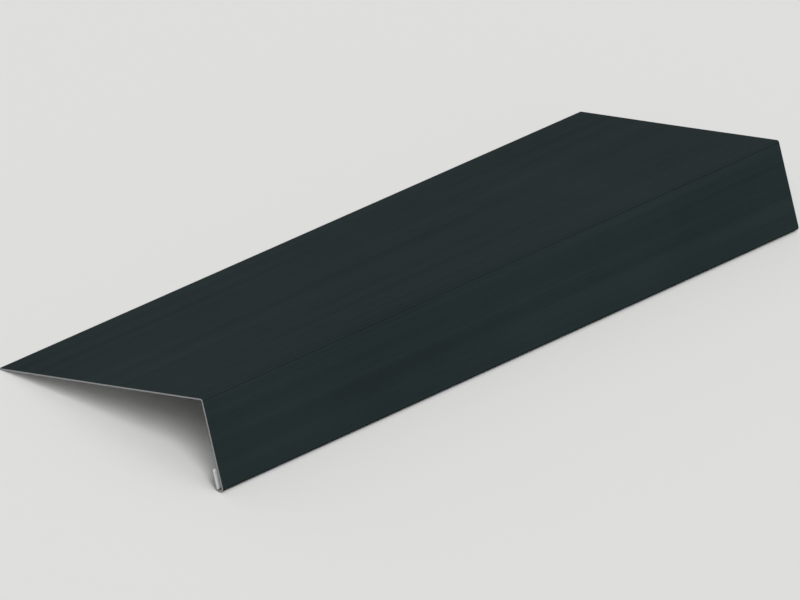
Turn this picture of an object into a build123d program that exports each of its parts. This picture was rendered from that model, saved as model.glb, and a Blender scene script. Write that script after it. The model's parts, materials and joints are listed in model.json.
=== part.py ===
from build123d import *
import os
from math import asin, atan2, cos, degrees, hypot, radians, sin

# Gutter apron: one painted metal sheet, folded along its length.
# A wide flange lies on the roof deck, a short face hangs over the eave into
# the gutter, and the face's foot turns back up inside as an open hem.
#
# Frame: X runs along the eave, +Y points to the flange's free edge and Z is up.
# The apron stands unheld like a low tent, on the flange's free edge and on the
# heel of its hem, with the origin at the bottom centre of its box.

# Driving dimensions, in millimetres and degrees.
# The leg sizes are to the outside, and run to where the flat faces would meet.
piece_length = 635.0
flange_depth = 127.0
face_height = 51.4
included_angle = 105.0
hem_return = 12.7
hem_gap = 2.85
sheet_thickness = 0.8
inside_radius = 0.8

# Sizes that follow from them.
outside_radius = inside_radius + sheet_thickness
hem_width = hem_gap + 2 * sheet_thickness
face_lean = radians(included_angle - 90)


def outline_corners():
    """Corners of the painted side, from the flange's free edge to the hem's tip.

    They are (Y, Z) points with the flange level and its main bend at the origin.
    """
    down_face = Vector(-sin(face_lean), -cos(face_lean))
    into_roof = Vector(cos(face_lean), -sin(face_lean))
    free_edge = Vector(flange_depth, 0)
    main_bend = Vector(0, 0)
    foot = main_bend + down_face * face_height
    heel = foot + into_roof * hem_width
    hem_tip = heel - down_face * hem_return
    return free_edge, main_bend, foot, heel, hem_tip


def heel_centre():
    """Centre of the heel's bend, which the hem stands on."""
    _, _, foot, heel, hem_tip = outline_corners()
    to_foot = (foot - heel).normalized()
    to_tip = (hem_tip - heel).normalized()
    return heel + (to_foot + to_tip) * outside_radius


def rest_tilt():
    """Turn about X, in degrees, that stands the apron on a level floor.

    The underside corner of the free edge and the heel's bend then both touch it.
    """
    heel = heel_centre()
    run = flange_depth - heel.X
    rise = -sheet_thickness - heel.Y
    heel_lift = asin(outside_radius / hypot(run, rise))
    return -degrees(atan2(rise, run) + heel_lift)


def sheet_section():
    """Cross-section of the folded sheet, thickened inwards from its painted side."""
    painted_side = FilletPolyline(*outline_corners(), radius=outside_radius)
    inward = Side.LEFT
    outline = offset(painted_side, amount=sheet_thickness, side=inward, closed=True)
    return make_face(outline.edges())


def apron_sheet():
    """The whole folded sheet, standing on the floor at the origin."""
    section = Plane.YZ * sheet_section()
    level = extrude(section, amount=piece_length / 2, both=True)
    tilted = level.rotate(Axis.X, rest_tilt())
    box = tilted.bounding_box()
    return Pos(-box.center().X, -box.center().Y, -box.min.Z) * tilted


os.makedirs("parts", exist_ok=True)
export_step(apron_sheet(), "parts/apron_sheet.step")
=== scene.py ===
import json
from math import atan2, ceil, pi, radians, sin, tan

import bmesh
import bpy
from bpy.props import FloatProperty, FloatVectorProperty, IntProperty, PointerProperty
from mathutils import Matrix, Vector


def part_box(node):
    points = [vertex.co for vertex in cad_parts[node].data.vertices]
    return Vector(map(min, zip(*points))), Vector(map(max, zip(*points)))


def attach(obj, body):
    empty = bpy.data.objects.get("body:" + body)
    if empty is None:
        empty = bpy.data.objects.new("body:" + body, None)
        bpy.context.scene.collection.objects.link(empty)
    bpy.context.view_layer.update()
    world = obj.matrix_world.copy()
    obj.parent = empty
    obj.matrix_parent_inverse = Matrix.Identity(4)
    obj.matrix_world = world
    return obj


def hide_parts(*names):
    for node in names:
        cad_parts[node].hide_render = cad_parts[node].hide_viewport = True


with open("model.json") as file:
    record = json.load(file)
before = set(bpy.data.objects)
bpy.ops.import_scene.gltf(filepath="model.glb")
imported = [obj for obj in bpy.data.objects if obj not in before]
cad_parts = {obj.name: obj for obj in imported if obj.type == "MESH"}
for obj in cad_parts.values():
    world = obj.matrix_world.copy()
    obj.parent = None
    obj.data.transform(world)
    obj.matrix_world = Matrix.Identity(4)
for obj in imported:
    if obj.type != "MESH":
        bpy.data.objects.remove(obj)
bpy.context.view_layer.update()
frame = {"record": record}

bl_info = {
    "name": "Gutter Apron",
    "version": (1, 0, 0),
    "blender": (4, 5, 0),
    "location": "3D View > Sidebar > Gutter Apron",
    "description": "Folds a painted sheet into a gutter apron and sets it on a studio floor",
    "category": "Add Mesh",
}

NODE = "apron_sheet"
BODY = "root"
STRIP_MAP = "strip"

# The sheet's three finishes, in the order of its material slots.
PAINT, REVERSE, CUT = range(3)


def node_length():
    """Length of the apron along the eave, as the frame has it."""
    low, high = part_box(NODE)
    return high.x - low.x


class ApronSizes(bpy.types.PropertyGroup):
    """The folded sheet's sizes, measured to the corners of its painted side, and its mesh's."""

    length: FloatProperty(
        name="Length",
        description="Length along the eave",
        default=node_length(),
        unit="LENGTH",
    )
    flange_depth: FloatProperty(
        name="Flange depth",
        description="From the flange's free edge to the corner where it meets the face",
        default=0.127,
        unit="LENGTH",
    )
    face_height: FloatProperty(
        name="Face height",
        description="From that corner down to the foot of the face",
        default=0.0514,
        unit="LENGTH",
    )
    included_angle: FloatProperty(
        name="Included angle",
        description="Angle between the flange and the face",
        default=radians(105),
        subtype="ANGLE",
    )
    hem_return: FloatProperty(
        name="Hem return",
        description="Height of the hem's return leg",
        default=0.0127,
        unit="LENGTH",
    )
    hem_gap: FloatProperty(
        name="Hem gap",
        description="Clear width of the open hem",
        default=0.00285,
        unit="LENGTH",
    )
    thickness: FloatProperty(
        name="Sheet thickness",
        description="Thickness of the metal",
        default=0.0008,
        unit="LENGTH",
    )
    inside_radius: FloatProperty(
        name="Inside bend radius",
        description="Radius on the inside of every bend",
        default=0.0008,
        unit="LENGTH",
    )
    edge_round: FloatProperty(
        name="Cut edge rounding",
        description="How far the shear rounds each cut edge",
        default=0.00006,
        unit="LENGTH",
    )
    waviness: FloatProperty(
        name="Waviness",
        description="How far the wide flange springs out of flat between its edges",
        default=0.0003,
        unit="LENGTH",
    )
    cell: FloatProperty(
        name="Mesh cell",
        description="Longest mesh edge on the flat parts",
        default=0.004,
        unit="LENGTH",
    )
    bend_steps: IntProperty(
        name="Bend steps",
        description="Mesh steps round each bend",
        default=12,
        min=2,
    )


class ApronFinishes(bpy.types.PropertyGroup):
    """The sheet's colours, how glossy, rippled and marked its paint is, and how dark the painted
    shade on its hem folds is.
    """

    paint: FloatVectorProperty(
        name="Paint",
        description="Colour of the painted side",
        default=(0.0166, 0.0262, 0.0275),
        subtype="COLOR",
    )
    reverse_coat: FloatVectorProperty(
        name="Reverse coat",
        description="Colour of the thin coat on the reverse side",
        default=(0.70, 0.71, 0.70),
        subtype="COLOR",
    )
    cut_metal: FloatVectorProperty(
        name="Cut metal",
        description="Colour of the bare metal along the cut edges",
        default=(0.29, 0.295, 0.30),
        subtype="COLOR",
    )
    gloss: FloatProperty(
        name="Gloss",
        description="Weight of the soft gloss over the matt paint",
        default=0.05,
        subtype="FACTOR",
    )
    peel_depth: FloatProperty(
        name="Orange peel",
        description="Full depth of the fine ripple that the paint sets with",
        default=0.0002,
        unit="LENGTH",
    )
    mark_shade: FloatProperty(
        name="Bend marks",
        description="How much darker the folding tool's marks are than the paint",
        default=0.36,
        subtype="FACTOR",
    )
    # Painted shade: how much darker the paint is made on the hem's two rounded folds, in place of the
    # shade that falls on them.
    painted_shade_depth: FloatProperty(
        name="Hem scuffs",
        description="How much darker the shade_painted hem folds are than the paint",
        default=0.45,
        subtype="FACTOR",
    )


class ApronStage(bpy.types.PropertyGroup):
    """The floor, the lights and the camera."""

    floor_colour: FloatVectorProperty(
        name="Floor",
        description="Colour of the floor",
        default=(0.80, 0.80, 0.79),
        subtype="COLOR",
    )
    floor_size: FloatProperty(
        name="Floor size",
        description="Side of the square floor",
        default=60.0,
        unit="LENGTH",
    )
    backdrop: FloatProperty(
        name="Backdrop",
        description="How brightly the backdrop shows in the floor's colour, to match the lit floor",
        default=0.913,
    )
    sky_light: FloatProperty(
        name="Sky light",
        description="Strength of the even light from all round",
        default=0.5,
    )
    key_light: FloatProperty(
        name="Key light",
        description="Strength of the soft lamp",
        default=1.9,
    )
    key_direction: FloatVectorProperty(
        name="Key direction",
        description="Direction from the apron to the soft lamp",
        default=(-0.66, -0.30, 0.69),
        subtype="DIRECTION",
    )
    key_softness: FloatProperty(
        name="Key softness",
        description="Angle that the soft lamp spans",
        default=radians(30),
        subtype="ANGLE",
    )
    camera_turn: FloatProperty(
        name="Camera turn",
        description="Turn of the view round the upright, away from straight at the face",
        default=radians(60),
        subtype="ANGLE",
    )
    camera_rise: FloatProperty(
        name="Camera rise",
        description="Angle at which the view looks down on the level flange",
        default=radians(15),
        subtype="ANGLE",
    )
    view_width: FloatProperty(
        name="View width",
        description="Width of the picture at the apron",
        default=0.4390,
        unit="LENGTH",
    )
    aim: FloatVectorProperty(
        name="Aim",
        description="Where the view's middle lies, to the right of the frame's origin and above it",
        size=2,
        default=(-0.00248, -0.0003),
        subtype="TRANSLATION",
    )
    lens: FloatProperty(
        name="Lens",
        description="Focal length, long so that parallel edges stay parallel",
        default=1200.0,
        unit="CAMERA",
    )


def outside_radius(sizes):
    """Radius of every bend on its painted side."""
    return sizes.inside_radius + sizes.thickness


def setback(sizes, turn):
    """How far from a fold's virtual corner its bend starts."""
    return outside_radius(sizes) * tan(turn / 2)


def fold_plan(sizes):
    """The strip's flats and bends in order, from the free edge to the hem's tip.

    Each row is a flat's length and the turn of the bend that follows it, or 0 after the last.
    """
    main_turn = pi - sizes.included_angle
    hem_turn = pi / 2
    hem_width = sizes.hem_gap + 2 * sizes.thickness
    main_setback = setback(sizes, main_turn)
    hem_setback = setback(sizes, hem_turn)
    return [
        (sizes.flange_depth - main_setback, main_turn),
        (sizes.face_height - main_setback - hem_setback, hem_turn),
        (hem_width - 2 * hem_setback, hem_turn),
        (sizes.hem_return - hem_setback, 0.0),
    ]


def flange_flat(sizes):
    """Width of the flange's flat part, from its free edge to the main bend."""
    return fold_plan(sizes)[0][0]


def bend_places(sizes):
    """Middle and half width of each bend, across the strip from its free edge along the paint."""
    places = []
    laid = 0.0
    for flat, turn in fold_plan(sizes):
        half_arc = outside_radius(sizes) * turn / 2
        if turn:
            places.append((laid + flat + half_arc, half_arc))
        laid += flat + 2 * half_arc
    return places


def mark_places(sizes):
    """The same for the marks that the folding tool leaves where the main bend starts and ends."""
    half_mark = 0.0005
    middle, half_arc = bend_places(sizes)[0]
    return [(middle - half_arc, half_mark), (middle + half_arc, half_mark)]


def fold_places(sizes):
    """The same for the hem's two folds, at the foot and at the heel, whose paint gets painted shade.
    """
    return bend_places(sizes)[1:]


def hollow_places(sizes):
    """The same for the reverse side's hollows, which get painted shade: inside the main bend, and the
    hem's bottom.
    """
    main, foot, heel = bend_places(sizes)
    bottom = (foot[0] + heel[0]) / 2
    return [main, (bottom, heel[0] + heel[1] - bottom)]


def flat_steps(length, cell, margin):
    """Mesh steps along a flat: even cells, with a narrow one at each end to hold it flat.

    A flat too short for three narrow cells is one step.
    """
    if length < 3 * margin:
        return [length]
    count = ceil((length - 2 * margin) / cell)
    return [margin] + [(length - 2 * margin) / count] * count + [margin]


class SheetBuilder:
    """Folds the sheet's section from a short edge across its thickness.

    The strip then lies along the painted side: each vertex keeps how far along
    the strip it was laid, and how deep under the paint it is.
    """

    # Width of the narrow cell that keeps a flat straight up to its bend.
    SUPPORT = 0.0004

    def __init__(self, bm, sizes):
        self.bm = bm
        self.sizes = sizes
        self.laid = bm.verts.layers.float.new("laid")
        self.depth = bm.verts.layers.float.new("depth")
        painted = bm.verts.new((-sizes.length / 2, sizes.flange_depth, 0))
        reverse = bm.verts.new((-sizes.length / 2, sizes.flange_depth, -sizes.thickness))
        reverse[self.depth] = sizes.thickness
        self.front = bm.edges.new((painted, reverse))
        self.heading = Vector((0, -1, 0))

    def extrude_front(self, added_length):
        """Draws a new front edge out of the last one, and gives back its two ends."""
        grown = bmesh.ops.extrude_edge_only(self.bm, edges=[self.front])["geom"]
        ends = [part for part in grown if isinstance(part, bmesh.types.BMVert)]
        self.front = self.bm.edges.get(ends)
        for end in ends:
            end[self.laid] += added_length
        return ends

    def run_flat(self, length):
        """Lays a flat straight on."""
        for step in flat_steps(length, self.sizes.cell, self.SUPPORT):
            ends = self.extrude_front(step)
            bmesh.ops.translate(self.bm, verts=ends, vec=self.heading * step)

    def run_bend(self, turn):
        """Bends the sheet away from its painted side."""
        radius = outside_radius(self.sizes)
        inward = Matrix.Rotation(pi / 2, 3, "X") @ self.heading
        painted = min(self.front.verts, key=lambda end: end[self.depth])
        centre = painted.co + inward * radius
        step = turn / self.sizes.bend_steps
        turning = Matrix.Rotation(step, 3, "X")
        for _ in range(self.sizes.bend_steps):
            ends = self.extrude_front(radius * step)
            bmesh.ops.rotate(self.bm, verts=ends, cent=centre, matrix=turning)
        self.heading = Matrix.Rotation(turn, 3, "X") @ self.heading


def build_section(bm, sizes):
    """The cut end of the folded sheet, level, as a ribbon of faces."""
    builder = SheetBuilder(bm, sizes)
    for flat, turn in fold_plan(sizes):
        builder.run_flat(flat)
        if turn:
            builder.run_bend(turn)
    return builder


def run_along_eave(bm, sizes):
    """Draws the section out to the apron's length, in cells."""
    steps = ceil(sizes.length / sizes.cell)
    section = bm.verts[:] + bm.edges[:] + bm.faces[:]
    bmesh.ops.spin(
        bm,
        geom=section,
        cent=(0, 0, 0),
        axis=(1, 0, 0),
        dvec=(sizes.length / steps, 0, 0),
        angle=0,
        steps=steps,
        use_duplicate=False,
    )
    bmesh.ops.recalc_face_normals(bm, faces=bm.faces[:])


def choose_finishes(bm, sizes, depth):
    """Gives each face its slot, by the side that its corners are on, and shades it smooth."""
    middle = sizes.thickness / 2
    for face in bm.faces:
        on_reverse = [corner[depth] > middle for corner in face.verts]
        if all(on_reverse):
            face.material_index = REVERSE
        elif any(on_reverse):
            face.material_index = CUT
        else:
            face.material_index = PAINT
        face.smooth = True


def lay_out_strip(bm, laid, depth):
    """UV map in metres: along the eave and across the strip, or along and through a cut edge."""
    strip = bm.loops.layers.uv.new(STRIP_MAP)
    for face in bm.faces:
        for corner in face.loops:
            vert = corner.vert
            along = vert.co.x
            if face.material_index == CUT:
                corner[strip].uv = (along + vert[laid], vert[depth])
            else:
                corner[strip].uv = (along, vert[laid])


def spring_flange(bm, sizes, laid):
    """Lets the wide flange spring slightly out of flat, while its edges stay straight."""
    # Each wave's share of the height, how often it runs along the length, and where it starts.
    waves = ((0.55, 2.6, 0.18), (0.45, 4.3, 0.61))
    flat = flange_flat(sizes)
    for vert in bm.verts:
        across = vert[laid] / flat
        if across < 1:
            along = vert.co.x / sizes.length
            wave = sum(share * sin(2 * pi * (often * along + start)) for share, often, start in waves)
            vert.co.z += sizes.waviness * wave * sin(pi * across) ** 2


def round_cut_edges(bm, sizes):
    """Rounds the sharp edges that the shear and the slitter leave."""
    corner_from = radians(60)
    crease_from = radians(15)
    sharp = [edge for edge in bm.edges if edge.calc_face_angle(0) > corner_from]
    bmesh.ops.bevel(
        bm,
        geom=sharp,
        offset=sizes.edge_round,
        offset_type="OFFSET",
        segments=2,
        profile=0.5,
        affect="EDGES",
        material=-1,
        clamp_overlap=True,
    )
    # The shading runs smoothly round the bends, whose steps turn less, and stops at the cut edges.
    for edge in bm.edges:
        edge.smooth = edge.calc_face_angle(0) < crease_from


def deck_seat():
    """Middle of the flange's underside as the apron stands, and the turn from level that it has."""
    seat = next(mount for mount in frame["record"]["mounts"] if mount["name"] == "deck_seat")
    downward = Vector(seat["axis"])
    tilt = Matrix.Rotation(atan2(downward.y, -downward.z), 3, "X")
    return Vector(seat["pos_m"]), tilt


def stand_on_floor(bm, sizes):
    """Turns and moves the level sheet to where the frame has it, by the flange's underside."""
    seat, tilt = deck_seat()
    level_seat = Vector((0, sizes.flange_depth - flange_flat(sizes) / 2, -sizes.thickness))
    bmesh.ops.rotate(bm, verts=bm.verts[:], cent=(0, 0, 0), matrix=tilt)
    bmesh.ops.translate(bm, verts=bm.verts[:], vec=seat - tilt @ level_seat)


class Wire:
    """A node's output that takes part in sums, so that a finish is written as an expression."""

    def __init__(self, tree, socket):
        self.tree = tree
        self.socket = socket

    def maths(self, operation, *values):
        """Adds a Math node for the values, and gives its output."""
        return self.tree.node("ShaderNodeMath", {"operation": operation}, dict(enumerate(values)))

    def __add__(self, other):
        return self.maths("ADD", self, other)

    def __radd__(self, other):
        return self.maths("ADD", other, self)

    def __sub__(self, other):
        return self.maths("SUBTRACT", self, other)

    def __rsub__(self, other):
        return self.maths("SUBTRACT", other, self)

    def __mul__(self, other):
        return self.maths("MULTIPLY", self, other)

    def __rmul__(self, other):
        return self.maths("MULTIPLY", other, self)

    def __abs__(self):
        return self.maths("ABSOLUTE", self)


class NodeTree:
    """A node tree that is wired up node by node."""

    def __init__(self, tree):
        self.tree = tree
        tree.nodes.clear()

    def node(self, kind, settings=None, values=None, output=0):
        """Adds a node with its settings, then its sockets' values or wires, and gives an output."""
        made = self.tree.nodes.new(kind)
        for name, value in (settings or {}).items():
            setattr(made, name, value)
        for name, value in (values or {}).items():
            if isinstance(value, Wire):
                self.tree.links.new(value.socket, made.inputs[name])
            else:
                made.inputs[name].default_value = value
        return Wire(self, made.outputs[output]) if made.outputs else None

    def shaded(self, colour, shade):
        """The colour, darker where the shade is under 1 and lighter where it is over."""
        return self.node("ShaderNodeVectorMath", {"operation": "SCALE"}, {0: colour, "Scale": shade})

    def noise(self, place, cells, detail):
        """Noise from -0.5 to 0.5, with so many cells to each metre along each axis."""
        scaled = self.node(
            "ShaderNodeMapping", {"vector_type": "POINT"}, {"Vector": place, "Scale": cells}
        )
        noise = self.node(
            "ShaderNodeTexNoise",
            {"noise_dimensions": "3D"},
            {"Vector": scaled, "Scale": 1.0, "Detail": detail},
        )
        return noise - 0.5

    def band(self, value, low, high):
        """0 up to low and 1 from high, with a smooth rise between them."""
        return self.node(
            "ShaderNodeMapRange",
            {"interpolation_type": "SMOOTHSTEP"},
            {"Value": value, "From Min": low, "From Max": high},
        )

    def stripes(self, across, places, full_share):
        """1 over that share of each place's width, with a smooth fall to 0 at its sides."""
        stripes = 0.0
        for middle, half_width in places:
            from_middle = abs(across - middle)
            stripes = stripes + (1 - self.band(from_middle, full_share * half_width, half_width))
        return stripes

    def bump(self, height, distance, strength):
        """Surface relief, which at a strength of 1 is as deep as the distance, in metres."""
        values = {"Height": height, "Distance": distance, "Strength": strength}
        return self.node("ShaderNodeBump", values=values)


def new_material(name):
    """An empty node material and its tree."""
    material = bpy.data.materials.new(name)
    material.use_nodes = True
    return material, NodeTree(material.node_tree)


def finish_surface(tree, values):
    """Ends a material's tree in a Principled surface."""
    surface = tree.node("ShaderNodeBsdfPrincipled", values=values)
    tree.node("ShaderNodeOutputMaterial", values={"Surface": surface})


def strip_place(tree):
    """A point's place on the strip's map, and the part of it across the strip."""
    strip = tree.node("ShaderNodeUVMap", {"uv_map": STRIP_MAP})
    return strip, tree.node("ShaderNodeSeparateXYZ", values={"Vector": strip}, output="Y")


def painted_side(finishes, sizes):
    """Matt baked paint: orange peel, lengthwise streaks, bend marks, and painted shade on the hem
    folds.
    """
    material, tree = new_material("baked_paint")
    place = tree.node("ShaderNodeTexCoord", output="Object")
    clouds = tree.noise(place, cells=(9, 9, 9), detail=3)
    streaks = tree.noise(place, cells=(1.2, 140, 140), detail=3)
    rollers = tree.noise(place, cells=(3, 900, 900), detail=2)
    peel = tree.noise(place, cells=(520, 520, 520), detail=2)
    _, across = strip_place(tree)
    marks = tree.stripes(across, mark_places(sizes), full_share=0.2)
    # Painted shade on the hem's two folds, darkest at the middle of each fold.
    painted_shade = tree.stripes(across, fold_places(sizes), full_share=0.0)
    unevenness = 0.36 * clouds + 0.48 * streaks + 0.24 * rollers
    # The paint is darkened here by the painted shade on the hem folds.
    shade = 1 + unevenness - finishes.mark_shade * marks - finishes.painted_shade_depth * painted_shade
    finish_surface(tree, {
        "Base Color": tree.shaded(finishes.paint, shade),
        "Roughness": 0.46 + 0.10 * clouds + 0.06 * streaks - 0.08 * marks,
        "Specular IOR Level": 0.0,
        "Coat Weight": finishes.gloss,
        "Coat Roughness": 0.32,
        "Normal": tree.bump(peel, distance=finishes.peel_depth, strength=1.0),
    })
    return material


def reverse_side(finishes, sizes):
    """Thin light coat on the reverse, rolled on lengthwise, with painted shade in the hollows."""
    material, tree = new_material("reverse_wash_coat")
    place = tree.node("ShaderNodeTexCoord", output="Object")
    streaks = tree.noise(place, cells=(2.5, 320, 320), detail=4)
    clouds = tree.noise(place, cells=(14, 22, 22), detail=3)
    grain = tree.noise(place, cells=(900, 900, 900), detail=1)
    _, across = strip_place(tree)
    # Painted shade: the coat is darkened inside the main bend and along the hem's bottom, where shade
    # falls.
    painted_hollow_shade = tree.stripes(across, hollow_places(sizes), full_share=0.85)
    shade = 1 + 0.21 * streaks + 0.15 * clouds - 0.85 * painted_hollow_shade
    relief = 0.6 * streaks + 0.4 * grain
    finish_surface(tree, {
        "Base Color": tree.shaded(finishes.reverse_coat, shade),
        "Roughness": 0.48 + 0.14 * streaks,
        "Specular IOR Level": 0.35,
        "Normal": tree.bump(relief, distance=0.00001, strength=0.4),
    })
    return material


def cut_side(finishes, sizes):
    """Bare metal through the sheet: a burnished band, then a rougher torn one."""
    burnished_share = 0.35
    border_wander = 0.0002
    border_width = 0.0001
    material, tree = new_material("sheared_metal")
    strip, through = strip_place(tree)
    scratches = tree.noise(strip, cells=(9000, 900, 1), detail=2)
    torn_from = sizes.thickness * burnished_share
    torn = tree.band(through + border_wander * scratches, torn_from, torn_from + border_width)
    finish_surface(tree, {
        "Base Color": tree.shaded(finishes.cut_metal, 1 + 0.36 * scratches * (0.3 + torn)),
        "Metallic": 0.8,
        "Roughness": 0.34 + 0.22 * torn,
        "Normal": tree.bump(scratches, distance=0.00002, strength=0.5),
    })
    return material


class APRON_OT_fold_sheet(bpy.types.Operator):
    """Folds the painted sheet, and puts it in the frame in place of the plain solid"""

    bl_idname = "apron.fold_sheet"
    bl_label = "Fold Sheet"

    def execute(self, context):
        sizes = context.scene.apron_sizes
        finishes = context.scene.apron_finishes
        bm = bmesh.new()
        builder = build_section(bm, sizes)
        run_along_eave(bm, sizes)
        choose_finishes(bm, sizes, builder.depth)
        lay_out_strip(bm, builder.laid, builder.depth)
        spring_flange(bm, sizes, builder.laid)
        round_cut_edges(bm, sizes)
        stand_on_floor(bm, sizes)
        mesh = bpy.data.meshes.new("folded_sheet")
        bm.to_mesh(mesh)
        bm.free()
        for finish in (painted_side, reverse_side, cut_side):
            mesh.materials.append(finish(finishes, sizes))
        sheet = bpy.data.objects.new("folded_sheet", mesh)
        context.scene.collection.objects.link(sheet)
        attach(sheet, BODY)
        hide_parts(NODE)
        return {"FINISHED"}


def lay_floor(scene, stage):
    """A plain pale floor under the apron."""
    bm = bmesh.new()
    bmesh.ops.create_grid(bm, x_segments=1, y_segments=1, size=stage.floor_size / 2)
    mesh = bpy.data.meshes.new("studio_floor")
    bm.to_mesh(mesh)
    bm.free()
    material, tree = new_material("pale_floor")
    finish_surface(tree, {
        "Base Color": (*stage.floor_colour, 1),
        "Roughness": 0.9,
        "Specular IOR Level": 0.0,
    })
    mesh.materials.append(material)
    floor = bpy.data.objects.new("studio_floor", mesh)
    scene.collection.objects.link(floor)


def light_world(scene, stage):
    """Even light from all round, which the camera and reflections see as a pale backdrop."""
    world = bpy.data.worlds.new("studio_world")
    world.use_nodes = True
    scene.world = world
    tree = NodeTree(world.node_tree)
    rays = ("Is Camera Ray", "Is Glossy Ray", "Is Transmission Ray")
    seen = sum(tree.node("ShaderNodeLightPath", output=ray) for ray in rays)
    white = (1, 1, 1, 1)
    pale = (*stage.floor_colour, 1)
    light = tree.node("ShaderNodeBackground", values={"Color": white, "Strength": stage.sky_light})
    backdrop = tree.node("ShaderNodeBackground", values={"Color": pale, "Strength": stage.backdrop})
    mixed = tree.node("ShaderNodeMixShader", values={"Fac": seen, 1: light, 2: backdrop})
    tree.node("ShaderNodeOutputWorld", values={"Surface": mixed})


def hang_lamp(scene, stage):
    """A soft lamp on the picture's left, which also reaches into the hem's end."""
    lamp = bpy.data.lights.new("key_lamp", "SUN")
    lamp.energy = stage.key_light
    lamp.angle = stage.key_softness
    key = bpy.data.objects.new("key_lamp", lamp)
    key.rotation_euler = Vector(stage.key_direction).to_track_quat("Z", "Y").to_euler()
    scene.collection.objects.link(key)


def place_camera(scene, stage):
    """A long lens that looks at the apron from the picture's side.

    The view is set on the apron with its flange level, and turned with it to the floor.
    """
    camera = bpy.data.cameras.new("picture_camera")
    camera.lens = stage.lens
    distance = stage.view_width * camera.lens / camera.sensor_width
    camera.clip_end = 2 * distance
    _, tilt = deck_seat()
    turn = Matrix.Rotation(-stage.camera_turn, 3, "Z")
    rise = Matrix.Rotation(pi / 2 - stage.camera_rise, 3, "X")
    facing = tilt @ turn @ rise
    right, up, back = facing.col
    target = right * stage.aim[0] + up * stage.aim[1]
    eye = bpy.data.objects.new("picture_camera", camera)
    eye.matrix_world = Matrix.Translation(target + back * distance) @ facing.to_4x4()
    scene.collection.objects.link(eye)
    scene.camera = eye


class APRON_OT_set_stage(bpy.types.Operator):
    """Lays the floor, sets the lights and places the camera"""

    bl_idname = "apron.set_stage"
    bl_label = "Set Stage"

    def execute(self, context):
        scene = context.scene
        stage = scene.apron_stage
        scene.view_settings.view_transform = "Standard"
        lay_floor(scene, stage)
        light_world(scene, stage)
        hang_lamp(scene, stage)
        place_camera(scene, stage)
        return {"FINISHED"}


class APRON_PT_sidebar(bpy.types.Panel):
    """Lists the apron's steps and sizes"""

    bl_idname = "APRON_PT_sidebar"
    bl_label = "Gutter Apron"
    bl_space_type = "VIEW_3D"
    bl_region_type = "UI"
    bl_category = "Gutter Apron"

    def draw(self, context):
        layout = self.layout
        for settings in (
            context.scene.apron_sizes,
            context.scene.apron_finishes,
            context.scene.apron_stage,
        ):
            column = layout.column(align=True)
            for name in settings.__annotations__:
                column.prop(settings, name)
        layout.operator(APRON_OT_fold_sheet.bl_idname)
        layout.operator(APRON_OT_set_stage.bl_idname)


CLASSES = (
    ApronSizes,
    ApronFinishes,
    ApronStage,
    APRON_OT_fold_sheet,
    APRON_OT_set_stage,
    APRON_PT_sidebar,
)


def register():
    for made in CLASSES:
        bpy.utils.register_class(made)
    bpy.types.Scene.apron_sizes = PointerProperty(type=ApronSizes)
    bpy.types.Scene.apron_finishes = PointerProperty(type=ApronFinishes)
    bpy.types.Scene.apron_stage = PointerProperty(type=ApronStage)


def unregister():
    del bpy.types.Scene.apron_stage
    del bpy.types.Scene.apron_finishes
    del bpy.types.Scene.apron_sizes
    for made in reversed(CLASSES):
        bpy.utils.unregister_class(made)


def main():
    """Makes the apron and its stage."""
    register()
    bpy.ops.apron.fold_sheet()
    bpy.ops.apron.set_stage()
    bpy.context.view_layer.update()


if __name__ == "__main__":
    main()
